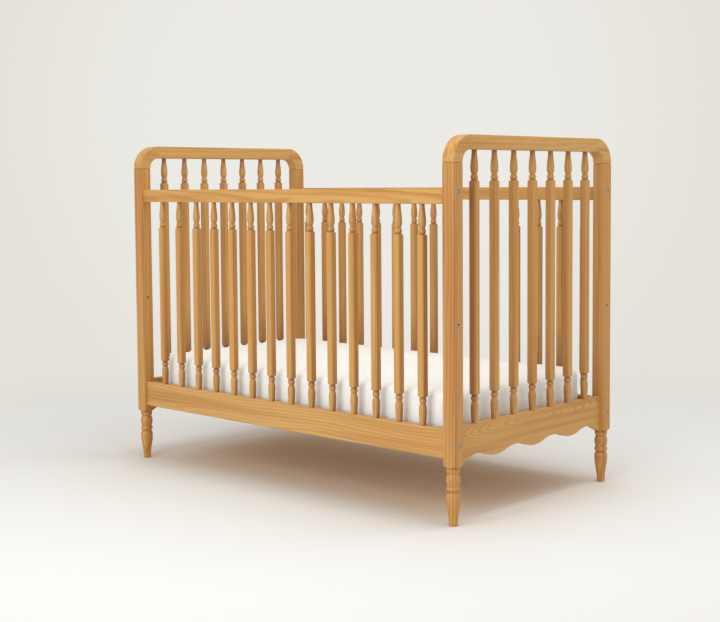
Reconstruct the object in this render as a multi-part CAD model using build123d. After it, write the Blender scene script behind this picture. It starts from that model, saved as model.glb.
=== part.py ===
from build123d import *
import os

# Baby crib with two tall end panels, two lower side panels and a mattress on a slatted base.
# Millimetres, +Z up. The origin is on the floor under the crib's centre, +X runs along the
# crib's length to its right-hand end and +Y across it to its back.

# --- overall sizes ---------------------------------------------------------------------
INNER_LENGTH = 1344.0  # clear length between the two end panels
INNER_WIDTH = 696.0  # clear width between the posts of one end panel
POST = 41.0  # side of the square posts and depth of the end panels' top rails
HEIGHT = 1084.0
FIT = 0.05  # radial clearance of dowels, tenons, bolts and nuts in their holes

# --- end panels ------------------------------------------------------------------------
EDGE_RADIUS = 2.5  # rounded long edges of posts, corner blocks and rails
CORNER_INNER_RADIUS = 36.0
JOINT_BEVEL = 2.2  # each side of the V groove between a post and its corner block
POST_BOTTOM = 162.0  # where the post's square section ends and its turned foot begins
POST_SHOULDER = 8.0  # height of the slope cut round the post's lower end
POST_TURNING = 28.5  # radius that clears the corners of the post's square section
APRON_THICKNESS = 18.0
APRON_TOP = 276.0
APRON_END = 164.0  # lower edge of the apron where it meets the posts
APRON_HIGH = 190.0  # crests of the scalloped lower edge
APRON_LOW = 173.0  # troughs of the scalloped lower edge
APRON_WAVE = 278.0 / 1.5  # length of one wave: three half waves reach the outermost crests
APRON_SHOULDER = (300.0, 185.5)  # where the outermost crest runs into a straight slope

# --- side panels -----------------------------------------------------------------------
RAIL_THICKNESS = 24.0
SIDE_TOP_RAIL = (893.0, 935.0)  # lower and upper edge
SIDE_BOTTOM_RAIL = (186.0, 269.0)

# --- spindles --------------------------------------------------------------------------
SPINDLE = 23.0  # side of the square middle part
SPINDLE_BEVEL = 2.8
SPINDLE_TURNING = 15.0  # radius that clears the corners of the spindle's square section
SIDE_PITCH = INNER_LENGTH / 15
SIDE_SPINDLES = {"front": 14, "back": 15}  # the back ones stand half a pitch further along
END_PITCH = 91.0
END_SPINDLES = 7
TENON_RADIUS = 6.0
TENON_LENGTH = 15.0

# --- fasteners -------------------------------------------------------------------------
DOWEL_RADIUS = 4.0
DOWEL_LENGTH = 40.0
DOWEL_BEVEL = 0.6
DOWEL_SPREAD = 9.0  # the two dowels of a corner joint stand this far from its middle
APRON_DOWEL_HEIGHTS = (190.0, 242.0)
UPPER_DOWEL_HEIGHT = 902.0
LOWER_DOWEL_HEIGHTS = (204.0, 254.0)
BOLT_RADIUS = 3.0
BOLT_LENGTH = 85.0
BOLT_HOLE_EASE = 0.25  # radial clearance of the bolts in posts and rails
BOLT_HEAD_RADIUS = 6.3
BOLT_HEAD_HEIGHT = 2.0
COUNTERBORE_RADIUS = 7.1  # the heads lie flush in the posts
SOCKET_RADIUS = 2.9  # hexagon socket, from its middle to its corners
SOCKET_DEPTH = 3.5
NUT_RADIUS = 5.0
NUT_LENGTH = 13.0
NUT_SLOT = (3.0, 1.4)  # depth to both sides of the end face, and width
NUT_SETBACK = 35.0  # from the rail's end to the middle of its barrel nut
UPPER_BOLT = 925.0
LOWER_BOLT = 224.0
BUSH_HEIGHT = 563.0  # fixing holes for the upper position of the mattress base
BUSH_BORE = 3.5
BUSH_RADIUS = 5.0
BUSH_FLANGE_RADIUS = 5.8
BUSH_FLANGE = 0.8
SCREW_RADIUS = 2.0
SCREW_HEAD_RADIUS = 4.0
SCREW_HEAD_RIM = 0.4  # height of the straight rim above the countersink
SCREW_POINT = 4.0
SCREW_RECESS = (4.6, 0.9, 3.0)  # one arm of the cross recess, half of it above the head

# --- mattress and its base -------------------------------------------------------------
SLAT_TOP = 242.0
SLAT = (60.0, 12.0)  # width and thickness
SLATS = 13
BASE_LENGTH = 1328.0
BASE_WIDTH = 684.0
BASE_RAIL = (26.0, 28.0)  # width and height
LEDGE = (30.0, 14.0)  # width and height of the ledge under the base
LEDGE_LENGTH = 1240.0
LEDGE_SCREWS = 5
LEDGE_SCREW_RUN = 1116.0  # between the outermost two
LEDGE_SCREW_LENGTH = 45.0
SLAT_SCREW_LENGTH = 30.0
MATTRESS_LENGTH = 1316.0
MATTRESS_WIDTH = 686.0
MATTRESS_THICKNESS = 118.8
MATTRESS_CORNER = 60.0
MATTRESS_EDGE = 20.0
SHEET = 1.2  # cloth thickness
SHEET_GAP = 0.4
SHEET_HEM = 70.0  # width of the sheet's edge gathered under the mattress

# --- places worked out from the sizes above --------------------------------------------
POST_X = INNER_LENGTH / 2 + POST / 2
POST_Y = INNER_WIDTH / 2 + POST / 2
OUTER_FACE_X = INNER_LENGTH / 2 + POST
CORNER_OUTER_RADIUS = CORNER_INNER_RADIUS + POST
BLOCK_BOTTOM = HEIGHT - CORNER_OUTER_RADIUS
TOP_RAIL_END = INNER_WIDTH / 2 - CORNER_INNER_RADIUS
TOP_RAIL_BOTTOM = HEIGHT - POST
BASE_RAIL_Y = (BASE_WIDTH - BASE_RAIL[0]) / 2
BASE_RAIL_TOP = SLAT_TOP - SLAT[1]
LEDGE_TOP = BASE_RAIL_TOP - BASE_RAIL[1]
RAIL_INNER_FACE = POST_Y - RAIL_THICKNESS / 2
LEDGE_INNER_FACE = RAIL_INNER_FACE - LEDGE[0]
MATTRESS_BOTTOM = SLAT_TOP + SHEET

# Every corner of the crib is the back right one, mirrored.
CORNERS = {
    "front_left": (-1, -1),
    "front_right": (1, -1),
    "back_left": (-1, 1),
    "back_right": (1, 1),
}
ENDS = {"left": -1, "right": 1}
SIDES = {"front": -1, "back": 1}

# Middles of the dowels and axes of the holes at the back right corner.
BLOCK_DOWELS = [(POST_X + s * DOWEL_SPREAD, POST_Y, BLOCK_BOTTOM) for s in (-1, 1)]
TOP_RAIL_DOWELS = [
    (POST_X + s * DOWEL_SPREAD, TOP_RAIL_END, HEIGHT - POST / 2) for s in (-1, 1)
]
APRON_DOWELS = [(POST_X, INNER_WIDTH / 2, z) for z in APRON_DOWEL_HEIGHTS]
UPPER_RAIL_DOWELS = [(INNER_LENGTH / 2, POST_Y, UPPER_DOWEL_HEIGHT)]
LOWER_RAIL_DOWELS = [(INNER_LENGTH / 2, POST_Y, z) for z in LOWER_DOWEL_HEIGHTS]


def laid(shape, middle, axis):
    """A shape made along Z, turned along X, Y or Z and moved to a point."""
    turn = {"X": (0, 90, 0), "Y": (90, 0, 0), "Z": (0, 0, 0)}[axis]
    return Pos(*middle) * Rot(*turn) * shape


def rod(middle, axis, radius, length):
    """A round rod along X, Y or Z, centred on a point."""
    return laid(Cylinder(radius, length), middle, axis)


def dowel_holes(places, axis):
    """The holes of a row of dowels, each as deep on both sides of the joint."""
    return [rod(place, axis, DOWEL_RADIUS + FIT, DOWEL_LENGTH) for place in places]


def mirrored(shape, x_side, y_side):
    """A shape at the back right corner, carried to another corner."""
    if x_side < 0:
        shape = mirror(shape, Plane.YZ)
    if y_side < 0:
        shape = mirror(shape, Plane.XZ)
    return shape


def at_every_corner(shapes):
    """Shapes at the back right corner, repeated at all four corners."""
    return [mirrored(shape, *sides) for sides in CORNERS.values() for shape in shapes]


def turned(*stations):
    """A turned solid about Z. Each station is (form, height, radius), and form says how the
    outline gets there: line is straight, swell arrives along the axis, fall leaves along
    the axis, and ogee does both, with its two arcs meeting half way."""
    edges = []
    (_, height, radius), *rest = stations
    here = Vector(radius, height)
    foot = Vector(0, height)
    along = (0, 1)
    back = (0, -1)
    edges.append(Line(foot, here))
    for form, height, radius in rest:
        there = Vector(radius, height)
        middle = (here + there) / 2
        if form == "line":
            edges.append(Line(here, there))
        elif form == "swell":
            edges.append(TangentArc(there, here, tangent=back))
        elif form == "fall":
            edges.append(TangentArc(here, there, tangent=along))
        else:
            edges.append(TangentArc(here, middle, tangent=along))
            edges.append(TangentArc(there, middle, tangent=back))
        here = there
    top = Vector(0, here.Y)
    edges.append(Line(here, top))
    edges.append(Line(top, foot))
    return revolve(Plane.XZ * make_face(Wire(edges)), Axis.Z)


def bar(length, width, height, axis, radius=EDGE_RADIUS):
    """A straight rail along X or Y with rounded long edges, centred on the origin."""
    plane = {"X": Plane.YZ, "Y": Plane.XZ}[axis]
    return extrude(plane * RectangleRounded(width, height, radius), length / 2, both=True)


def connector_hole(height):
    """The bolt's clearance hole through a post and into the end of its side rail."""
    length = BOLT_LENGTH + 10.0
    middle = (OUTER_FACE_X - length / 2, POST_Y, height)
    return rod(middle, "X", BOLT_RADIUS + BOLT_HOLE_EASE, length)


def counterbore(height):
    """The flat-bottomed recess for a bolt's head in the post's outer face."""
    return rod((OUTER_FACE_X, POST_Y, height), "X", COUNTERBORE_RADIUS, 2 * BOLT_HEAD_HEIGHT)


def post():
    """The back right post: a square section with a sloping shoulder at its lower end, and
    below it a foot turned from the same piece, with a collar, a ball, a bead and a taper."""
    square = extrude(RectangleRounded(POST, POST, EDGE_RADIUS), BLOCK_BOTTOM)
    square = chamfer(square.faces().sort_by(Axis.Z)[-1].edges(), JOINT_BEVEL)
    shaft = turned(
        ("line", 0.0, 11.0),
        ("line", 1.5, 12.3),
        ("ogee", 83.0, 20.4),
        ("fall", 95.0, 15.8),
        ("line", 97.0, 15.8),
        ("swell", 104.0, 20.3),
        ("fall", 111.5, 17.0),
        ("line", 113.0, 17.0),
        ("swell", 131.0, 20.4),
        ("fall", 145.5, 16.4),
        ("line", 147.5, 16.4),
        ("swell", 157.0, 19.6),
        ("line", 159.5, 19.2),
        ("line", 160.5, 18.2),
        ("line", POST_BOTTOM, 18.2),
        ("line", POST_BOTTOM + POST_SHOULDER, POST_TURNING),
        ("line", BLOCK_BOTTOM, POST_TURNING),
    )
    bolts = [cut(z) for z in (UPPER_BOLT, LOWER_BOLT) for cut in (connector_hole, counterbore)]
    bush = rod((POST_X, POST_Y, BUSH_HEIGHT), "X", BUSH_RADIUS + FIT, POST + 2)
    holes = (
        dowel_holes(BLOCK_DOWELS, "Z")
        + dowel_holes(APRON_DOWELS, "Y")
        + dowel_holes(UPPER_RAIL_DOWELS + LOWER_RAIL_DOWELS, "X")
    )
    return Pos(POST_X, POST_Y, 0) * (square & shaft) - bolts - bush - holes


def corner_block():
    """The back right corner block: a quarter ring of the post's square section."""
    section = Pos(POST_X, POST_Y, BLOCK_BOTTOM) * RectangleRounded(POST, POST, EDGE_RADIUS)
    axis = Axis((0, TOP_RAIL_END, BLOCK_BOTTOM), (1, 0, 0))
    ring = revolve(section, axis, revolution_arc=90)
    lower_face = ring.faces().sort_by(Axis.Z)[0]
    ring = chamfer(lower_face.edges(), JOINT_BEVEL)
    return ring - dowel_holes(BLOCK_DOWELS, "Z") - dowel_holes(TOP_RAIL_DOWELS, "Y")


def spindle(length):
    """A spindle standing on the origin, `length` long between its rails, with a tenon at
    each end, a vase and a bead at each end of the square part, and rounded shoulders."""
    top = length
    section = chamfer(Rectangle(SPINDLE, SPINDLE).vertices(), SPINDLE_BEVEL)
    prism = Pos(0, 0, -TENON_LENGTH) * extrude(section, length + 2 * TENON_LENGTH)
    shaft = turned(
        ("line", -TENON_LENGTH, TENON_RADIUS),
        ("line", 0.0, TENON_RADIUS),
        ("line", 0.0, 9.7),
        ("ogee", 43.0, 11.4),
        ("fall", 60.5, 8.2),
        ("line", 62.0, 8.2),
        ("swell", 69.5, 10.8),
        ("fall", 77.0, 8.2),
        ("line", 78.5, 8.2),
        ("swell", 86.5, SPINDLE_TURNING),
        ("line", top - 92.5, SPINDLE_TURNING),
        ("fall", top - 85.0, 8.8),
        ("line", top - 84.0, 8.8),
        ("swell", top - 76.5, 10.8),
        ("fall", top - 69.0, 8.0),
        ("line", top - 67.5, 8.0),
        ("swell", top - 52.0, 11.4),
        ("ogee", top, 7.4),
        ("line", top, TENON_RADIUS),
        ("line", top + TENON_LENGTH, TENON_RADIUS),
    )
    return prism & shaft


def spaced(count, pitch):
    """Places of `count` pieces in a row, `pitch` apart and centred on zero."""
    return [pitch * (i - (count - 1) / 2) for i in range(count)]


def tenon_holes(places, mouth, down):
    """The spindles' holes in a rail, from its face at height `mouth`, going down or up."""
    middle = mouth + (-1 if down else 1) * TENON_LENGTH / 2
    return [rod((x, y, middle), "Z", TENON_RADIUS + FIT, TENON_LENGTH) for x, y in places]


def end_top_rail():
    """The top rail of the right end, between its two corner blocks."""
    rail = Pos(POST_X, 0, HEIGHT - POST / 2) * bar(2 * TOP_RAIL_END, POST, POST, "Y")
    dowels = dowel_holes(TOP_RAIL_DOWELS, "Y")
    dowels += [mirror(hole, Plane.XZ) for hole in dowels]
    places = [(POST_X, y) for y in spaced(END_SPINDLES, END_PITCH)]
    return rail - dowels - tenon_holes(places, TOP_RAIL_BOTTOM, down=False)


def end_apron():
    """The apron of the right end: a board whose lower edge is a row of even waves, with a
    straight slope from the outermost crest down to each post."""
    half = INNER_WIDTH / 2
    crest = 1.5 * APRON_WAVE
    waves = [
        Vector(-crest + i * APRON_WAVE / 2, APRON_LOW if i % 2 else APRON_HIGH)
        for i in range(7)
    ]
    edges = []
    for here, there in zip(waves, waves[1:]):
        edges.append(TangentArc(here, (here + there) / 2, tangent=(1, 0)))
        edges.append(TangentArc(there, (here + there) / 2, tangent=(-1, 0)))
    shoulder, height = APRON_SHOULDER
    edges.append(TangentArc(waves[-1], (shoulder, height), tangent=(1, 0)))
    edges.append(TangentArc(waves[0], (-shoulder, height), tangent=(-1, 0)))
    rim = [(shoulder, height), (half, APRON_END), (half, APRON_TOP)]
    rim += [(-y, z) for y, z in reversed(rim)]
    edges += [Line(a, b) for a, b in zip(rim, rim[1:])]
    board = extrude(Plane.YZ * make_face(Wire(edges)), APRON_THICKNESS / 2, both=True)
    board = fillet(board.edges().filter_by(Axis.Y).group_by(Axis.Z)[-1], EDGE_RADIUS)
    board = Pos(POST_X, 0, 0) * board
    dowels = dowel_holes(APRON_DOWELS, "Y")
    dowels += [mirror(hole, Plane.XZ) for hole in dowels]
    places = [(POST_X, y) for y in spaced(END_SPINDLES, END_PITCH)]
    return board - dowels - tenon_holes(places, APRON_TOP, down=True)


def side_rail(edges, bolt, dowels, mouth, down, spindles):
    """A rail of the back side panel, with a bolt and a barrel nut near each end. Its
    spindles enter at height `mouth`, going down or up."""
    low, high = edges
    rail = bar(INNER_LENGTH, RAIL_THICKNESS, high - low, "X")
    rail = Pos(0, POST_Y, (low + high) / 2) * rail
    depth = NUT_LENGTH / 2 + RAIL_THICKNESS / 2
    nut_middle = POST_Y + NUT_LENGTH / 2 - depth / 2
    nut = rod((INNER_LENGTH / 2 - NUT_SETBACK, nut_middle, bolt), "Y", NUT_RADIUS + FIT, depth)
    holes = [connector_hole(bolt), nut] + dowel_holes(dowels, "X")
    holes += [mirror(hole, Plane.YZ) for hole in holes]
    places = [(x, POST_Y) for x in spaced(spindles, SIDE_PITCH)]
    return rail - holes - tenon_holes(places, mouth, down)


def connector_bolt(height):
    """A bolt through the back right post: a flat round head with a hexagon socket."""
    head = extrude(Circle(BOLT_HEAD_RADIUS), -BOLT_HEAD_HEIGHT)
    head = fillet(head.faces().sort_by(Axis.Z)[-1].edges(), BOLT_HEAD_HEIGHT / 2)
    shank = extrude(Circle(BOLT_RADIUS), -BOLT_LENGTH)
    shank = chamfer(shank.faces().sort_by(Axis.Z)[0].edges(), BOLT_RADIUS / 4)
    bolt = head + shank - extrude(RegularPolygon(SOCKET_RADIUS, 6), -SOCKET_DEPTH)
    return Pos(OUTER_FACE_X, POST_Y, height) * Rot(0, 90, 0) * bolt


def barrel_nut(height):
    """The cross nut of a connector bolt, with a driver slot in its inner end."""
    middle = (INNER_LENGTH / 2 - NUT_SETBACK, POST_Y, height)
    slot = Pos(middle[0], POST_Y - NUT_LENGTH / 2, height) * Box(2 * NUT_RADIUS + 1, *NUT_SLOT)
    thread = rod(middle, "X", BOLT_RADIUS + FIT, 2 * NUT_RADIUS + 1)
    return rod(middle, "Y", NUT_RADIUS, NUT_LENGTH) - thread - slot


def height_bush():
    """A steel sleeve through the back right post, with a thin flange on the outer face."""
    flange = extrude(Circle(BUSH_FLANGE_RADIUS), BUSH_FLANGE)
    flange = chamfer(flange.faces().sort_by(Axis.Z)[-1].edges(), BUSH_FLANGE / 2)
    sleeve = extrude(Circle(BUSH_RADIUS), -POST)
    bore = Pos(0, 0, -POST / 2) * Cylinder(BUSH_BORE, POST + 4)
    bush = flange + sleeve - bore
    return Pos(OUTER_FACE_X, POST_Y, BUSH_HEIGHT) * Rot(0, 90, 0) * bush


def dowel():
    """A plain wooden dowel with bevelled ends, centred on the origin along Z."""
    plain = Cylinder(DOWEL_RADIUS, DOWEL_LENGTH)
    return chamfer(plain.edges().filter_by(GeomType.CIRCLE), DOWEL_BEVEL)


def dowels():
    """Every dowel of the back right corner."""
    rows = (
        (BLOCK_DOWELS, "Z"),
        (TOP_RAIL_DOWELS + APRON_DOWELS, "Y"),
        (UPPER_RAIL_DOWELS + LOWER_RAIL_DOWELS, "X"),
    )
    return [laid(dowel(), middle, axis) for places, axis in rows for middle in places]


def screw_form(length, grow):
    """A countersunk screw pointing down from the origin, grown for its hole by `grow`."""
    return turned(
        ("line", -length, 0.5),
        ("line", SCREW_POINT - length, SCREW_RADIUS + grow),
        ("line", SCREW_RADIUS - SCREW_HEAD_RADIUS - SCREW_HEAD_RIM, SCREW_RADIUS + grow),
        ("line", -SCREW_HEAD_RIM, SCREW_HEAD_RADIUS + grow),
        ("line", 0.0, SCREW_HEAD_RADIUS + grow),
    )


def screw(length):
    """A countersunk screw with a cross recess."""
    arm = Box(*SCREW_RECESS)
    return screw_form(length, 0) - arm - Rot(0, 0, 90) * arm


def ledge_screw_places():
    """Where the back ledge's screws enter its inner face, each turned to point outwards."""
    middle = LEDGE_TOP - LEDGE[1] / 2
    pitch = LEDGE_SCREW_RUN / (LEDGE_SCREWS - 1)
    row = spaced(LEDGE_SCREWS, pitch)
    return [Pos(x, LEDGE_INNER_FACE, middle) * Rot(90, 0, 0) for x in row]


def slat_middles():
    """Places of the slats along the base, the outer two flush with its ends."""
    return spaced(SLATS, (BASE_LENGTH - SLAT[0]) / (SLATS - 1))


def slat_screw_places(y_side):
    """Where the slats' screws enter, over one side rail of the base."""
    return [Pos(x, y_side * BASE_RAIL_Y, SLAT_TOP) for x in slat_middles()]


def pad(grow, bottom, top):
    """A mattress shape with round corners and edges, grown sideways by `grow`."""
    outline = RectangleRounded(
        MATTRESS_LENGTH + 2 * grow, MATTRESS_WIDTH + 2 * grow, MATTRESS_CORNER + grow
    )
    block = Pos(0, 0, bottom) * extrude(outline, top - bottom)
    rims = block.faces().sort_by(Axis.Z)
    return fillet(rims[0].edges() + rims[-1].edges(), MATTRESS_EDGE + grow)


def fitted_sheet():
    """A sheet over the mattress, with its edge gathered under it all the way round."""
    top = MATTRESS_BOTTOM + MATTRESS_THICKNESS
    outside = pad(SHEET_GAP + SHEET, SLAT_TOP, top + SHEET)
    inside = pad(SHEET_GAP, MATTRESS_BOTTOM, top)
    mouth = RectangleRounded(
        MATTRESS_LENGTH - 2 * SHEET_HEM, MATTRESS_WIDTH - 2 * SHEET_HEM, MATTRESS_CORNER
    )
    opening = Pos(0, 0, SLAT_TOP - SHEET) * extrude(mouth, 3 * SHEET)
    return outside - inside - opening


def write(node, *solids):
    """One STEP file per node. Several solids are a group of identical pieces."""
    shape = solids[0] if len(solids) == 1 else Compound(children=list(solids))
    export_step(shape, f"parts/{node}.step")


os.makedirs("parts", exist_ok=True)

# Frame: four posts with their corner blocks, and the rails between them.
for corner, sides in CORNERS.items():
    write("post_" + corner, mirrored(post(), *sides))
    write("corner_block_" + corner, mirrored(corner_block(), *sides))
for end, x_side in ENDS.items():
    write("end_top_rail_" + end, mirrored(end_top_rail(), x_side, 1))
    write("end_apron_" + end, mirrored(end_apron(), x_side, 1))
ledge_middle = (RAIL_INNER_FACE + LEDGE_INNER_FACE) / 2
ledge = bar(LEDGE_LENGTH, *LEDGE, "X", radius=2.0)
ledge = Pos(0, ledge_middle, LEDGE_TOP - LEDGE[1] / 2) * ledge
ledge_holes = [place * screw_form(LEDGE_SCREW_LENGTH, FIT) for place in ledge_screw_places()]
for side, y_side in SIDES.items():
    count = SIDE_SPINDLES[side]
    top_rail = side_rail(
        SIDE_TOP_RAIL, UPPER_BOLT, UPPER_RAIL_DOWELS, SIDE_TOP_RAIL[0], False, count
    )
    bottom_rail = side_rail(
        SIDE_BOTTOM_RAIL, LOWER_BOLT, LOWER_RAIL_DOWELS, SIDE_BOTTOM_RAIL[1], True, count
    )
    write("side_top_rail_" + side, mirrored(top_rail, 1, y_side))
    write("side_bottom_rail_" + side, mirrored(bottom_rail - ledge_holes, 1, y_side))
    write("base_ledge_" + side, mirrored(ledge - ledge_holes, 1, y_side))

# Spindles: one node each in the side panels, one group in each end panel.
side_spindle = spindle(SIDE_TOP_RAIL[0] - SIDE_BOTTOM_RAIL[1])
for side, y_side in SIDES.items():
    for number, x in enumerate(spaced(SIDE_SPINDLES[side], SIDE_PITCH), start=1):
        place = Pos(x, y_side * POST_Y, SIDE_BOTTOM_RAIL[1])
        write(f"spindle_{side}_{number:02d}", place * side_spindle)
end_spindle = spindle(TOP_RAIL_BOTTOM - APRON_TOP)
for end, x_side in ENDS.items():
    places = [Pos(x_side * POST_X, y, APRON_TOP) for y in spaced(END_SPINDLES, END_PITCH)]
    write("end_spindles_" + end, *[place * end_spindle for place in places])

# Fasteners, alike at every corner.
bolt_heights = (UPPER_BOLT, LOWER_BOLT)
write("connector_bolts", *at_every_corner([connector_bolt(z) for z in bolt_heights]))
write("barrel_nuts", *at_every_corner([barrel_nut(z) for z in bolt_heights]))
write("height_bushes", *at_every_corner([height_bush()]))
write("dowels", *at_every_corner(dowels()))
ledge_screws = [place * screw(LEDGE_SCREW_LENGTH) for place in ledge_screw_places()]
write("ledge_screws", *ledge_screws, *[mirror(s, Plane.XZ) for s in ledge_screws])

# Mattress base: two side rails with slats screwed across them.
slat_screw = screw(SLAT_SCREW_LENGTH)
slat_screws = []
screw_holes = []
for side, y_side in SIDES.items():
    holes = [place * screw_form(SLAT_SCREW_LENGTH, FIT) for place in slat_screw_places(y_side)]
    rail = bar(BASE_LENGTH, *BASE_RAIL, "X", radius=2.0)
    rail = Pos(0, y_side * BASE_RAIL_Y, LEDGE_TOP + BASE_RAIL[1] / 2) * rail
    write("base_side_rail_" + side, rail - holes)
    screw_holes += holes
    slat_screws += [place * slat_screw for place in slat_screw_places(y_side)]
slat = bar(BASE_WIDTH, *SLAT, "Y", radius=2.0)
slats = [Pos(x, 0, SLAT_TOP - SLAT[1] / 2) * slat - screw_holes for x in slat_middles()]
write("base_slats", *slats)
write("slat_screws", *slat_screws)

# Mattress and the sheet on it.
write("mattress", pad(0, MATTRESS_BOTTOM, MATTRESS_BOTTOM + MATTRESS_THICKNESS))
write("fitted_sheet", fitted_sheet())
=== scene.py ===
import math
import random

import bpy
import numpy as np
from mathutils import Matrix, Vector, noise


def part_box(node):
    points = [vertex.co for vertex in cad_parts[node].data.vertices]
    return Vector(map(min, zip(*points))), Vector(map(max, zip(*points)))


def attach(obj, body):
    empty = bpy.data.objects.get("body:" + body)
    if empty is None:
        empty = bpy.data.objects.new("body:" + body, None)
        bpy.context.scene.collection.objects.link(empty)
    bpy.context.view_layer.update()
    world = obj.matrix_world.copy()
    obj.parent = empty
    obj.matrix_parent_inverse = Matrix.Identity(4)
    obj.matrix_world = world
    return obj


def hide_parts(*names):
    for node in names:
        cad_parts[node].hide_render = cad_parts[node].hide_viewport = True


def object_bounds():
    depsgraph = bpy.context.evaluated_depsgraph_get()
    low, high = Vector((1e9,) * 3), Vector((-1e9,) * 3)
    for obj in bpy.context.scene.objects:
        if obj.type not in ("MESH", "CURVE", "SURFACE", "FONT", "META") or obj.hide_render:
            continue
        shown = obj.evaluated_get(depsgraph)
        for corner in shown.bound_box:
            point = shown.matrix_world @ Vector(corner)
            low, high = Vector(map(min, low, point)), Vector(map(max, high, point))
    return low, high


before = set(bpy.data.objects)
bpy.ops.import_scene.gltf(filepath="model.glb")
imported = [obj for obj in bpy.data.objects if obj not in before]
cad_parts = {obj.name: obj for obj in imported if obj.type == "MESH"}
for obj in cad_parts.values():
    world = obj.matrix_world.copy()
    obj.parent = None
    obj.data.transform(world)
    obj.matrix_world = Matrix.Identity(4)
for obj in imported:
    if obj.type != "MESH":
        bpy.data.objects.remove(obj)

# A baby crib in honey-coloured pine, with a white fitted sheet on its mattress, standing on
# a pale studio floor. Metres, in the crib's own frame: +X to its right-hand end, +Y to its
# back, +Z up. Colours are linear RGB.
CAD_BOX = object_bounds()

# --- camera ----------------------------------------------------------------------------
CAMERA_PLACE = (2.987, -3.158, 0.953)
CAMERA_YAW = 43.69  # degrees to the left of +Y
CAMERA_PITCH = -3.83
CAMERA_ROLL = -0.44
CAMERA_LENS = 65.75
CAMERA_SHIFT = (0.0067, -0.0557)

# --- light and floor -------------------------------------------------------------------
BACKDROP = (0.768, 0.752, 0.694)
BACKDROP_MIDDLE = (0.842, 0.827, 0.783)  # where the backdrop is lit, behind the crib
BACKDROP_SPREAD = 17.0  # degrees from that middle to the plain backdrop
BACKDROP_RISE = 0.05  # slope at which the line of sight to that middle goes up
AMBIENT = (0.80, 0.765, 0.71)
LIGHTS = {  # square softboxes: metres and watts
    "key": dict(place=(0.6, -3.6, 1.7), aim=(0.2, 0.0, 0.3), size=2.6, power=66.0),
    "fill": dict(place=(3.6, -0.6, 1.9), aim=(0.0, 0.0, 0.3), size=1.8, power=10.0),
    "overhead": dict(place=(1.0, 0.3, 4.0), aim=(0.6, 0.1, 0.0), size=2.2, power=56.0),
}
FLOOR = (0.71, 0.725, 0.73)
FLOOR_CLOUD = (0.985, 0.985, 0.98)  # tint of the floor's faint mottle
FLOOR_RADIUS = 12.0
FLOOR_SIDES = 96
SHADE_REACH = 0.38  # how near the crib the floor gets its painted warm shadow
SHADE_TINT = (1.0, 0.75, 0.52)
FLOOR_FADE = (1.25, 2.8)  # distance from the crib over which the floor becomes backdrop
FLOOR_DROP = 0.0004  # keeps the floor just below the feet

# --- wood ------------------------------------------------------------------------------
EARLYWOOD = (0.570, 0.318, 0.086)
LATEWOOD = (0.360, 0.154, 0.031)
RAW_EARLYWOOD = (0.720, 0.440, 0.190)
RAW_LATEWOOD = (0.540, 0.270, 0.090)
ORANGE = (0.94, 0.87, 0.81)  # tints of whole pieces, for they come from different boards
PALE = (1.02, 1.06, 1.14)
AMBER_TINT = (0.86, 0.75, 0.62)  # broad bands of darker wood
FIBRE_TINT = (0.80, 0.72, 0.60)
PAINTED_GROOVE_SHADE = (0.48, 0.30, 0.16)  # painted shade in the narrow grooves of turned work
GROOVE_SHADE_REACH = 0.009
PAINTED_NEAR_SHADE = (0.60, 0.40, 0.24)  # painted shade where pieces stand close together
NEAR_SHADE_REACH = 0.17
TINT_SAMPLES = 4  # rays that find out where these two painted shades go
TONE_SPREAD = 0.03  # how much lighter or darker one piece is than the next
PITH_REACH = (0.035, 0.110)  # from the middle of a piece to its pith
PITH_SPREAD = 0.05  # how much that changes between the pieces of a group
CUT_SPREAD = 11.0  # moves the pieces of a group apart in the noise
LATEWOOD_START = (0.25, 0.86)  # shares of a ring over which latewood sets in
LATEWOOD_END = (0.90, 1.0)  # and stops
LATEWOOD_LEAST = 0.4  # latewood of the palest year beside that of the darkest
SWAY = (0.55, 0.11)  # sizes of features along the grain and across it: of the rings' sway,
WOBBLE = (0.16, 0.014)  # of the small wobble on top of it,
FIBRE = (0.05, 0.0007)  # of the fibres
BAND = (0.9, 0.020)  # and of the amber bands
WOBBLE_HEIGHT = 0.7  # in ring widths
GRAIN_BUMP = 0.00018  # height of the fibres and rings
END_SPINDLES = 7  # in each end panel
SLATS = 13
SLAT_WIDTH = 0.060

# --- steel -----------------------------------------------------------------------------
PLATED_STEEL = (0.50, 0.49, 0.46)
SCREW_STEEL = (0.46, 0.44, 0.40)
WORN_TINT = (0.80, 0.80, 0.78)
SCRATCH_BUMP = 0.00003

# --- bedding ---------------------------------------------------------------------------
COTTON = (0.90, 0.935, 0.935)
COTTON_MOTTLE = (0.97, 0.965, 0.955)
TICKING = (0.80, 0.78, 0.73)
TICKING_MOTTLE = (0.95, 0.94, 0.92)
THREAD_TINT = (0.86, 0.85, 0.83)
THREAD = 0.0009  # spacing of the weave
THREAD_BUMP = 0.00006
PAD_STEP = 0.012  # size of the squares that the bedding is made of
PAD_CORNER = 0.060  # radius of the mattress's corners, seen from above
PAD_EDGE = 0.026  # and of its rims
PAD_SWELL = 0.005  # how far the pressure may push the mattress out
SWELL_ROOM = (0.8, 0.8, 0.3)  # share of that by which the cover starts out smaller
SWELL_FRAMES = 20  # how long the simulation runs
PRESSURE = 4.0
HEM_WIDTH = 0.070  # the sheet's edge under the mattress
HEM_GATHER = 0.028  # spacing of its gathers
HEM_RISE = 0.0026  # and their height
SHEET_RIPPLE = 0.0006  # on top of the mattress
SIDE_RIPPLE = 0.0003
CORNER_PLEATS = 26.0  # waves per radian round a corner
CORNER_RIPPLE = 0.0006  # height of those pleats
SHEET_REST = 0.0004  # from the bottom of the CAD sheet to the lowest point of this one
SHEET_LIFT = 0.0022  # from the sheet to the mattress inside it
PAD_REST = 0.0036  # from the bottom of the CAD mattress to the lowest point of this one
QUILT = 0.090  # side of the ticking's diamonds
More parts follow.
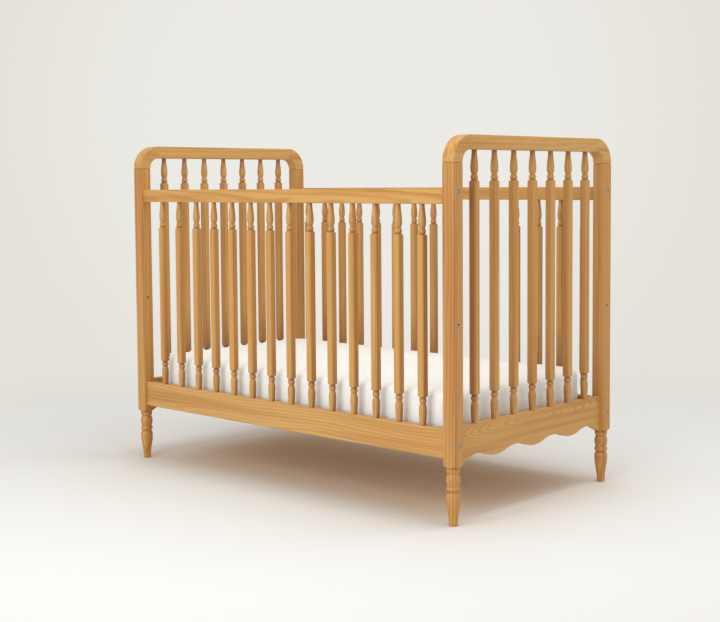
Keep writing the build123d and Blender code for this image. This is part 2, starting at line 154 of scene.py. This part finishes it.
QUILT_SEAM = 0.006  # width of the dent along each seam
QUILT_DEPTH = 0.0022
SIDES_APART = 5.0  # keeps the noise of a long side away from that of a short side


class Tree:
    """A node tree under construction. An input given as a socket is linked, and any other
    is set."""

    def __init__(self, tree):
        self.tree = tree
        tree.nodes.clear()

    def node(self, kind, inputs=None, **settings):
        made = self.tree.nodes.new("ShaderNode" + kind)
        for key, value in settings.items():
            setattr(made, key, value)
        for key, value in (inputs or {}).items():
            if isinstance(value, bpy.types.NodeSocket):
                self.tree.links.new(value, made.inputs[key])
            else:
                made.inputs[key].default_value = value
        return made

    def math(self, operation, a, b=0.0, c=0.0):
        return self.node("Math", {0: a, 1: b, 2: c}, operation=operation).outputs[0]

    def vector(self, operation, a, b=(0.0, 0.0, 0.0)):
        return self.node("VectorMath", {0: a, 1: b}, operation=operation).outputs[0]

    def combine(self, x, y, z):
        return self.node("CombineXYZ", {0: x, 1: y, 2: z}).outputs[0]

    def separate(self, vector):
        return list(self.node("SeparateXYZ", {0: vector}).outputs)

    def step(self, value, low, high):
        """0 below low and 1 above high, smooth in between."""
        inputs = {"Value": value, "From Min": low, "From Max": high}
        return self.node("MapRange", inputs, interpolation_type="SMOOTHSTEP").outputs[0]

    def noise(self, vector, scale=1.0, detail=1.0):
        return self.node("TexNoise", {"Vector": vector, "Scale": scale, "Detail": detail})

    def mix(self, share, a, b, blend="MIX"):
        inputs = {0: share, 6: a, 7: b}
        made = self.node("Mix", inputs, data_type="RGBA", blend_type=blend)
        return made.outputs[2]

    def tint(self, share, colour, by):
        return self.mix(share, colour, (*by, 1.0), blend="MULTIPLY")


def new_material(name):
    material = bpy.data.materials.new(name)
    material.use_nodes = True
    return material, Tree(material.node_tree)


def principled(tree, colour, roughness, height, bump, **constants):
    """Closes a material: its shader, its bump from a height, and its output."""
    inputs = {"Height": height, "Distance": bump, "Strength": 1.0}
    normal = tree.node("Bump", inputs).outputs[0]
    shader = tree.node("BsdfPrincipled", {"Normal": normal, "Roughness": roughness})
    for name, value in constants.items():
        shader.inputs[name.replace("_", " ")].default_value = value
    if isinstance(colour, tuple):
        shader.inputs["Base Color"].default_value = (*colour, 1.0)
    else:
        tree.tree.links.new(colour, shader.inputs["Base Color"])
    tree.node("OutputMaterial", {"Surface": shader.outputs[0]})


def pine(
    node, grain, ring, wave, tone=(1.0, 1.0, 1.0), depth=0.62, lean=0.0, pith=None, pitch=None,
    raw=False, paints_near_shade=False,
):
    """Pine for one CAD node. Its year rings lie round a pith that runs along the grain,
    `ring` apart, and they waver by `wave`. The grain slopes by `lean`. `tone` is the
    piece's own tint and `depth` the strength of its rings. `pith` is the side on which
    the pith lies, in degrees, or any side. In a group of alike pieces, `pitch` is the
    axis and the distance at which they repeat, and each piece is cut from another place
    in the tree. `raw` wood has no lacquer. Every piece gets painted shade in its narrow
    grooves, and a `paints_near_shade` piece also gets painted shade where others stand close
    to it."""
    chance = random.Random("pine " + node)
    low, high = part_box(node)
    material, tree = new_material("pine_" + node)
    place = tree.node("TexCoord").outputs["Object"]
    place = tree.vector("SUBTRACT", place, tuple((low + high) / 2))
    axes = dict(zip("XYZ", tree.separate(place)))
    seed = tuple(chance.uniform(-9.0, 9.0) for _ in range(3))
    if pitch:
        axis, distance = pitch
        number = tree.math("ROUND", tree.math("DIVIDE", axes[axis], distance))
        axes[axis] = tree.math("SUBTRACT", axes[axis], tree.math("MULTIPLY", number, distance))
        cast = tree.node("TexWhiteNoise", {"W": number}, noise_dimensions="1D").outputs["Color"]
        cast = tree.vector("SUBTRACT", cast, (0.5, 0.5, 0.5))
    else:
        cast = (0.0, 0.0, 0.0)
    along = axes.pop(grain)
    across, through = axes.values()
    shift = tree.vector("MULTIPLY_ADD", cast, (CUT_SPREAD, CUT_SPREAD, CUT_SPREAD))
    shift.node.inputs[2].default_value = seed

    def grained(length, width, detail=1.0):
        """Noise whose features are that long along the grain and that wide across it."""
        scaled = [tree.math("DIVIDE", along, length)]
        scaled += [tree.math("DIVIDE", side, width) for side in (across, through)]
        return tree.noise(tree.vector("ADD", tree.combine(*scaled), shift), detail=detail)

    angle = chance.uniform(0.0, 2.0 * math.pi) if pith is None else math.radians(pith)
    reach = chance.uniform(*PITH_REACH)
    heart = tree.vector("MULTIPLY_ADD", cast, (0.0, PITH_SPREAD, PITH_SPREAD))
    heart.node.inputs[2].default_value = (0.0, reach * math.cos(angle), reach * math.sin(angle))
    sway = tree.vector("SUBTRACT", grained(*SWAY).outputs["Color"], (0.5, 0.5, 0.5))
    sway = tree.vector("MULTIPLY", sway, (0.0, 2.0 * wave, 2.0 * wave))
    slope = tree.math("MULTIPLY", along, lean * chance.choice((-1, 1)))
    radius = tree.combine(0.0, tree.math("ADD", across, slope), through)
    radius = tree.vector("ADD", tree.vector("SUBTRACT", radius, heart), sway)
    radius = tree.node("VectorMath", {0: radius}, operation="LENGTH").outputs["Value"]
    wobble = tree.math("MULTIPLY", grained(*WOBBLE).outputs["Fac"], WOBBLE_HEIGHT)
    years = tree.math("ADD", tree.math("DIVIDE", radius, ring), wobble)
    season = tree.math("FRACT", years)
    late = tree.math(
        "MULTIPLY",
        tree.step(season, *LATEWOOD_START),
        tree.math("SUBTRACT", 1.0, tree.step(season, *LATEWOOD_END)),
    )
    year = tree.math("FLOOR", years)
    vigour = tree.node("TexWhiteNoise", {"W": year}, noise_dimensions="1D").outputs["Value"]
    vigour = tree.math("MULTIPLY_ADD", vigour, 1.0 - LATEWOOD_LEAST, LATEWOOD_LEAST)
    late = tree.math("MULTIPLY", late, vigour)
    fibre = grained(*FIBRE, detail=2.0).outputs["Fac"]
    band = grained(*BAND).outputs["Fac"]

    shade = chance.uniform(1.0 - TONE_SPREAD, 1.0 + TONE_SPREAD)
    early_colour, late_colour = (
        (*(shade * share * value for share, value in zip(tone, colour)), 1.0)
        for colour in ((RAW_EARLYWOOD, RAW_LATEWOOD) if raw else (EARLYWOOD, LATEWOOD))
    )
    colour = tree.mix(tree.math("MULTIPLY", late, depth), early_colour, late_colour)
    colour = tree.tint(tree.step(band, 0.42, 0.72), colour, AMBER_TINT)
    colour = tree.tint(tree.math("MULTIPLY", fibre, 0.45), colour, FIBRE_TINT)
    # Painted shade: the wood darkens in its own narrow grooves, found by short occlusion rays.
    inputs = {"Distance": GROOVE_SHADE_REACH}
    groove_shade = tree.node("AmbientOcclusion", inputs, samples=TINT_SAMPLES, only_local=True)
    colour = tree.tint(tree.step(groove_shade.outputs["AO"], 0.92, 0.45), colour, PAINTED_GROOVE_SHADE)
    # Painted shade: darker where other pieces stand close, found by occlusion rays.
    if paints_near_shade:
        inputs = {"Distance": NEAR_SHADE_REACH}
        near_shade = tree.node("AmbientOcclusion", inputs, samples=TINT_SAMPLES)
        colour = tree.tint(tree.step(near_shade.outputs["AO"], 0.98, 0.45), colour, PAINTED_NEAR_SHADE)
    roughness = tree.math("MULTIPLY_ADD", fibre, 0.16, 0.62 if raw else 0.38)
    height = tree.math("MULTIPLY_ADD", late, 0.35, fibre)
    coat = {} if raw else {"Coat_Weight": 0.12, "Coat_Roughness": 0.25}
    principled(tree, colour, roughness, height, GRAIN_BUMP, IOR=1.48, **coat)
    return material


def steel(name, colour, roughness):
    """Zinc-plated steel with the fine scratches and dull patches of handling."""
    material, tree = new_material(name)
    place = tree.node("TexCoord").outputs["Object"]
    patch = tree.noise(place, 240.0, 3.0).outputs["Fac"]
    scratch = tree.noise(tree.vector("MULTIPLY", place, (1.0, 9.0, 1.0)), 900.0, 2.0).outputs["Fac"]
    tone = tree.tint(tree.step(patch, 0.35, 0.75), (*colour, 1.0), WORN_TINT)
    rough = tree.math("MULTIPLY_ADD", patch, 0.22, roughness)
    principled(tree, tone, rough, scratch, SCRATCH_BUMP, Metallic=1.0)
    return material


def woven(name, colour, sheen, mottle):
    """A plain-weave cloth. Its threads run along the crib's axes, whichever way it faces."""
    material, tree = new_material(name)
    place = tree.node("TexCoord").outputs["Object"]
    threads = [
        tree.math("ABSOLUTE", tree.math("SINE", tree.math("MULTIPLY", side, math.pi / THREAD)))
        for side in tree.separate(place)
    ]
    weave = tree.math("ADD", tree.math("ADD", threads[0], threads[1]), threads[2])
    slub = tree.noise(place, 420.0, 2.0).outputs["Fac"]
    cloud = tree.noise(place, 7.0, 3.0).outputs["Fac"]
    tone = tree.tint(tree.step(cloud, 0.35, 0.75), (*colour, 1.0), mottle)
    tone = tree.tint(tree.math("MULTIPLY", weave, 0.10), tone, THREAD_TINT)
    height = tree.math("MULTIPLY_ADD", slub, 1.2, weave)
    rough = tree.math("MULTIPLY_ADD", slub, 0.15, 0.78)
    constants = {"Sheen_Weight": sheen, "Sheen_Roughness": 0.5, "IOR": 1.4}
    principled(tree, tone, rough, height, THREAD_BUMP, **constants)
    return material


def dress(node, material):
    """Gives a CAD node its material."""
    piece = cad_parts[node]
    if not piece.material_slots:
        piece.data.materials.append(material)
    for slot in piece.material_slots:
        slot.material = material


def dress_wood():
    """Each board, post and spindle is its own piece of pine."""
    spindle_row = span("end_spindles_left", 1) - span("spindle_front_01", 1)
    spindle_pitch = spindle_row / (END_SPINDLES - 1)
    slat_pitch = (span("base_slats", 0) - SLAT_WIDTH) / (SLATS - 1)
    # Turned work gets painted shade where other pieces stand close to it.
    turned = dict(grain="Z", ring=0.0048, wave=0.003, paints_near_shade=True)
    board = dict(grain="Y", ring=0.0120, depth=0.42)
    plank = dict(grain="X", lean=0.02)
    batten = dict(grain="X", ring=0.0060, wave=0.008, raw=True)
    kinds = {
        "post": dict(grain="Z", ring=0.0085, wave=0.005, tone=ORANGE, depth=0.75, lean=0.006),
        "corner_block": dict(board, wave=0.003, tone=PALE, lean=0.02, pith=25.0),
        "end_top_rail": dict(board, wave=0.014, tone=PALE, lean=0.01),
        "end_apron": dict(grain="Y", ring=0.0044, wave=0.010, depth=0.52, lean=0.11, pith=80.0),
        "end_spindles": dict(turned, pitch=("Y", spindle_pitch)),
        "side_top_rail": dict(plank, ring=0.0065, wave=0.010),
        "side_bottom_rail": dict(plank, ring=0.0090, wave=0.022, tone=PALE, depth=0.5),
        "spindle": turned,
        "base_ledge": batten,
        "base_side_rail": batten,
        "base_slats": dict(grain="Y", ring=0.0065, wave=0.010, pitch=("X", slat_pitch), raw=True),
        "dowels": dict(grain="Y", ring=0.0030, wave=0.002, raw=True),
    }
    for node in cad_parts:
        kind = max((k for k in kinds if node.startswith(k)), key=len, default=None)
        if kind:
            dress(node, pine(node, **kinds[kind]))


def dress_steel():
    plated = steel("plated_steel", PLATED_STEEL, 0.30)
    dark = steel("screw_steel", SCREW_STEEL, 0.34)
    for node in ("connector_bolts", "height_bushes"):
        dress(node, plated)
    for node in ("barrel_nuts", "ledge_screws", "slat_screws"):
        dress(node, dark)


def span(node, axis):
    low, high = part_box(node)
    return high[axis] - low[axis]


def grid_box(half, step):
    """Points and faces of a closed box centred on the origin, cut into squares."""
    counts = [round(2.0 * size / step) for size in half]
    index = {}
    faces = []
    for axis in range(3):
        u, v = (axis + 1) % 3, (axis + 2) % 3
        for end in (0, counts[axis]):
            for a in range(counts[u]):
                for b in range(counts[v]):
                    quad = []
                    for da, db in ((0, 0), (1, 0), (1, 1), (0, 1)):
                        key = [0, 0, 0]
                        key[axis], key[u], key[v] = end, a + da, b + db
                        quad.append(index.setdefault(tuple(key), len(index)))
                    faces.append(quad if end else quad[::-1])
    points = (2.0 * np.array(list(index), float) / counts - 1.0) * half
    return points, faces


def plan_distance(points, half, corner):
    """How far points lie outside a rectangle with round corners, seen from above."""
    reach = np.abs(points[:, :2]) - (np.array(half[:2]) - corner)
    outside = np.linalg.norm(np.maximum(reach, 0.0), axis=1)
    return outside + np.minimum(reach.max(axis=1), 0.0) - corner


def pad_distance(points, half, corner, edge):
    """How far points lie outside a pad with round corners and rounded rims."""
    side = plan_distance(points, half, corner) + edge
    rim = np.stack([side, np.abs(points[:, 2]) - (half[2] - edge)], axis=1)
    outside = np.linalg.norm(np.maximum(rim, 0.0), axis=1)
    return outside + np.minimum(rim.max(axis=1), 0.0) - edge


def onto(points, distance, *shape):
    """Moves points along the slope of a distance until they lie on its zero surface."""
    nudge = 1e-5
    for _ in range(4):
        slope = np.empty_like(points)
        for axis in range(3):
            step = np.zeros(3)
            step[axis] = nudge
            ahead = distance(points + step, *shape)
            behind = distance(points - step, *shape)
            slope[:, axis] = (ahead - behind) / (2.0 * nudge)
        points = points - distance(points, *shape)[:, None] * slope
    return points


def new_mesh(name, points, faces):
    mesh = bpy.data.meshes.new(name)
    mesh.from_pydata([tuple(p) for p in points], [], faces)
    mesh.shade_smooth()
    piece = bpy.data.objects.new(name, mesh)
    bpy.context.scene.collection.objects.link(piece)
    return piece


def coordinates(mesh):
    flat = np.empty(len(mesh.vertices) * 3, np.float32)
    mesh.vertices.foreach_get("co", flat)
    return flat.reshape(-1, 3).astype(float)


def normals(mesh):
    flat = np.empty(len(mesh.vertices) * 3, np.float32)
    mesh.vertices.foreach_get("normal", flat)
    return flat.reshape(-1, 3).astype(float)


def set_coordinates(mesh, points):
    mesh.vertices.foreach_set("co", points.astype(np.float32).ravel())
    mesh.update()


def swollen(points, faces, travel):
    """Lets Cloth pressure fill a closed cover, with no point moving further than travel."""
    piece = new_mesh("swelling", points, faces)
    cloth = piece.modifiers.new("Cloth", "CLOTH")
    cloth.settings.quality = 4
    cloth.settings.mass = 0.15
    cloth.settings.tension_stiffness = 12.0
    cloth.settings.compression_stiffness = 12.0
    cloth.settings.shear_stiffness = 5.0
    cloth.settings.bending_stiffness = 0.6
    cloth.settings.use_pressure = True
    cloth.settings.uniform_pressure_force = PRESSURE
    cloth.settings.effector_weights.gravity = 0.0
    cloth.point_cache.frame_start = 1
    cloth.point_cache.frame_end = SWELL_FRAMES
    scene = bpy.context.scene
    for number in range(1, SWELL_FRAMES + 1):
        scene.frame_set(number)
    filled = piece.evaluated_get(bpy.context.evaluated_depsgraph_get())
    moved = coordinates(filled.data) - points
    scene.frame_set(1)
    bpy.data.objects.remove(piece)
    length = np.linalg.norm(moved, axis=1, keepdims=True)
    return points + moved * np.minimum(1.0, travel / np.maximum(length, 1e-9))


def smoothed(piece):
    """Applies one subdivision."""
    piece.modifiers.new("Subdivision", "SUBSURF").levels = 1
    fine = piece.evaluated_get(bpy.context.evaluated_depsgraph_get())
    mesh = bpy.data.meshes.new_from_object(fine)
    mesh.name = piece.name
    piece.modifiers.clear()
    piece.data = mesh
    return piece


def ease(value, low, high):
    """0 at low and 1 at high, smooth in between, for arrays."""
    share = np.clip((value - low) / (high - low), 0.0, 1.0)
    return share * share * (3.0 - 2.0 * share)


def ripples(points, size, seed):
    """Smooth noise from about -1 to 1 at each point."""
    away = Vector((seed, 0.0, 0.0))
    return np.array([noise.noise(Vector(p / size) + away) for p in points])


def pad_shape():
    """The mattress as one closed cover, swollen by its filling, in the CAD solid's place."""
    low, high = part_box("fitted_sheet")
    middle = np.array((low + high) / 2)
    half = np.array((high - low) / 2) - PAD_SWELL * np.array(SWELL_ROOM)
    points, faces = grid_box(half, PAD_STEP)
    points = onto(points, pad_distance, half, PAD_CORNER, PAD_EDGE)
    points = swollen(points, faces, PAD_SWELL)
    return points + middle, faces, half, middle


def along_sides(points, half):
    """How far along its own side of the mattress each point is, in metres."""
    x, y = points[:, 0], points[:, 1]
    at_end = np.abs(x) / half[0] > np.abs(y) / half[1]
    return np.where(at_end, y + np.sign(x) * SIDES_APART, x)


def without_mouth(points, faces, half):
    """The faces of a cover about the origin, but for those inside the sheet's hem."""
    under = points[:, 2] < -0.9 * half[2]
    mouth = half[:2] - HEM_WIDTH
    inside = under & (np.abs(points[:, :2]) < mouth - 1e-6).all(axis=1)
    return [face for face in faces if not all(inside[i] for i in face)]


def sheet_lift(points, local, outward, half):
    """How far ripples and drawn corners raise each point of the sheet."""
    depth = (local[:, 2] + half[2]) / (2.0 * half[2])
    low_share = 1.0 - ease(depth, 0.35, 0.95)
    corner = np.clip(np.abs(local[:, :2]) - (half[:2] - 3.0 * PAD_CORNER), 0.0, None)
    corner = ease(corner.min(axis=1), 0.0, 0.09)
    angle = np.arctan2(
        np.abs(local[:, 1]) - (half[1] - 2.0 * PAD_CORNER),
        np.abs(local[:, 0]) - (half[0] - 2.0 * PAD_CORNER),
    )
    side = 1.0 - ease(np.abs(outward[:, 2]), 0.5, 0.95)
    top = ease(outward[:, 2], 0.6, 0.98)
    lift = SHEET_RIPPLE * ripples(points, size=0.17, seed=3.0) * (top + 0.4 * side)
    tall = points * [1.0, 1.0, 0.35]
    lift += SIDE_RIPPLE * ripples(tall, size=0.09, seed=8.0) * side * low_share
    lift += CORNER_RIPPLE * np.cos(CORNER_PLEATS * angle) * corner * side * low_share
    return lift


def make_sheet(points, faces, half, middle):
    """The fitted sheet: the cover's outside, open under the mattress, with drawn corners, a
    gathered edge and the faint ripples of cotton pulled over foam."""
    low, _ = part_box("fitted_sheet")
    kept = without_mouth(points - middle, faces, half)
    piece = smoothed(new_mesh("fitted_sheet_cotton", points, kept))
    trim_loose(piece)
    points, outward = coordinates(piece.data), normals(piece.data)
    local = points - middle
    points += outward * sheet_lift(points, local, outward, half)[:, None]
    around = along_sides(local, half)
    turn = 2.0 * math.pi * around / HEM_GATHER + ripples(points, size=0.11, seed=5.0)
    gather = 0.5 + 0.5 * np.sin(turn)
    beneath = ease(-outward[:, 2], 0.6, 0.98)
    inset = -plan_distance(local, half, PAD_CORNER)
    points[:, 2] += HEM_RISE * gather * beneath * ease(inset, 0.02, HEM_WIDTH)
    points[:, 2] = np.maximum(points[:, 2], low.z + SHEET_REST)
    set_coordinates(piece.data, points)
    return piece


def trim_loose(piece):
    """Removes points that no face uses."""
    used = {i for face in piece.data.polygons for i in face.vertices}
    if len(used) < len(piece.data.vertices):
        order = {old: new for new, old in enumerate(sorted(used))}
        points = coordinates(piece.data)[sorted(used)]
        faces = [[order[i] for i in face.vertices] for face in piece.data.polygons]
        mesh = bpy.data.meshes.new(piece.name)
        mesh.from_pydata([tuple(p) for p in points], [], faces)
        mesh.shade_smooth()
        piece.data = mesh


def make_pad(points, faces):
    """The mattress inside the sheet, in quilted ticking."""
    low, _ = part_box("mattress")
    piece = smoothed(new_mesh("mattress_ticking", points, faces))
    points, outward = coordinates(piece.data), normals(piece.data)
    points -= outward * SHEET_LIFT
    flat = ease(np.abs(outward[:, 2]), 0.9, 0.999)
    for sign in (1.0, -1.0):
        along = (points[:, 0] + sign * points[:, 1]) / QUILT
        seam = np.abs(along - np.round(along)) * QUILT
        dent = QUILT_DEPTH * np.exp(-((seam / QUILT_SEAM) ** 2))
        points[:, 2] -= np.sign(outward[:, 2]) * flat * dent
    points[:, 2] = np.maximum(points[:, 2], low.z + PAD_REST)
    set_coordinates(piece.data, points)
    return piece


def make_bedding():
    points, faces, half, middle = pad_shape()
    sheet = make_sheet(points, faces, half, middle)
    sheet.data.materials.append(woven("cotton", COTTON, 0.12, COTTON_MOTTLE))
    pad = make_pad(points, faces)
    pad.data.materials.append(woven("ticking", TICKING, 0.05, TICKING_MOTTLE))
    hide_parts("fitted_sheet")
    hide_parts("mattress")
    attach(sheet, "mattress")
    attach(pad, "mattress")


def make_floor():
    """A large plain disc that fades into the backdrop away from the crib, with a painted warm
    shadow near the crib.
    """
    rim = [
        (FLOOR_RADIUS * math.cos(turn), FLOOR_RADIUS * math.sin(turn), 0.0)
        for turn in np.linspace(0.0, 2.0 * math.pi, FLOOR_SIDES, endpoint=False)
    ]
    floor = new_mesh("floor", rim, [list(range(FLOOR_SIDES))])
    floor.location.z = CAD_BOX[0].z - FLOOR_DROP
    material, tree = new_material("floor")
    place = tree.node("TexCoord").outputs["Object"]
    distance = tree.node("VectorMath", {0: place}, operation="LENGTH").outputs["Value"]
    cloud = tree.noise(place, 1.3, 2.0).outputs["Fac"]
    colour = tree.tint(cloud, (*FLOOR, 1.0), FLOOR_CLOUD)
    # Painted shadow: the floor is tinted warmer and darker where the crib hides its sky.
    inputs = {"Distance": SHADE_REACH}
    open_sky = tree.node("AmbientOcclusion", inputs, samples=6).outputs["AO"]
    colour = tree.tint(tree.step(open_sky, 1.0, 0.1), colour, SHADE_TINT)
    matt = tree.node("BsdfDiffuse", {"Color": colour}).outputs[0]
    clear = tree.node("BsdfTransparent").outputs[0]
    share = tree.step(distance, *FLOOR_FADE)
    mixed = tree.node("MixShader", {0: share, 1: matt, 2: clear}).outputs[0]
    tree.node("OutputMaterial", {"Surface": mixed})
    floor.data.materials.append(material)


def make_world():
    """A pale backdrop, a little brighter behind the crib, and a dimmer even ambient light."""
    world = bpy.data.worlds.new("studio")
    world.use_nodes = True
    bpy.context.scene.world = world
    tree = Tree(world.node_tree)
    facing = tree.node("TexCoord").outputs["Generated"]
    yaw = math.radians(CAMERA_YAW)
    axis = (-math.sin(yaw), math.cos(yaw), BACKDROP_RISE)
    aim = tree.node("VectorMath", {0: facing, 1: axis}, operation="DOT_PRODUCT").outputs["Value"]
    glow = tree.step(aim, math.cos(math.radians(BACKDROP_SPREAD)), 1.0)
    seen = tree.mix(glow, (*BACKDROP, 1.0), (*BACKDROP_MIDDLE, 1.0))
    camera_ray = tree.node("LightPath").outputs["Is Camera Ray"]
    colour = tree.mix(camera_ray, (*AMBIENT, 1.0), seen)
    back = tree.node("Background", {"Color": colour}).outputs[0]
    tree.node("OutputWorld", {"Surface": back})


def make_light(name, place, aim, size, power):
    data = bpy.data.lights.new(name, "AREA")
    data.shape = "SQUARE"
    data.size = size
    data.energy = power
    light = bpy.data.objects.new(name, data)
    light.location = place
    light.rotation_euler = (Vector(aim) - Vector(place)).to_track_quat("-Z", "Y").to_euler()
    bpy.context.scene.collection.objects.link(light)


def make_camera():
    data = bpy.data.cameras.new("camera")
    data.lens = CAMERA_LENS
    data.shift_x, data.shift_y = CAMERA_SHIFT
    data.clip_end = 100.0
    camera = bpy.data.objects.new("camera", data)
    turn = Matrix.Rotation(math.radians(CAMERA_YAW), 4, "Z")
    tilt = Matrix.Rotation(math.radians(90.0 + CAMERA_PITCH), 4, "X")
    roll = Matrix.Rotation(math.radians(CAMERA_ROLL), 4, "Z")
    camera.matrix_world = Matrix.Translation(CAMERA_PLACE) @ turn @ tilt @ roll
    bpy.context.scene.collection.objects.link(camera)
    bpy.context.scene.camera = camera


make_camera()
make_world()
make_floor()
for name, light in LIGHTS.items():
    make_light(name, **light)
dress_wood()
dress_steel()
make_bedding()

bpy.context.scene.view_settings.view_transform = "Standard"
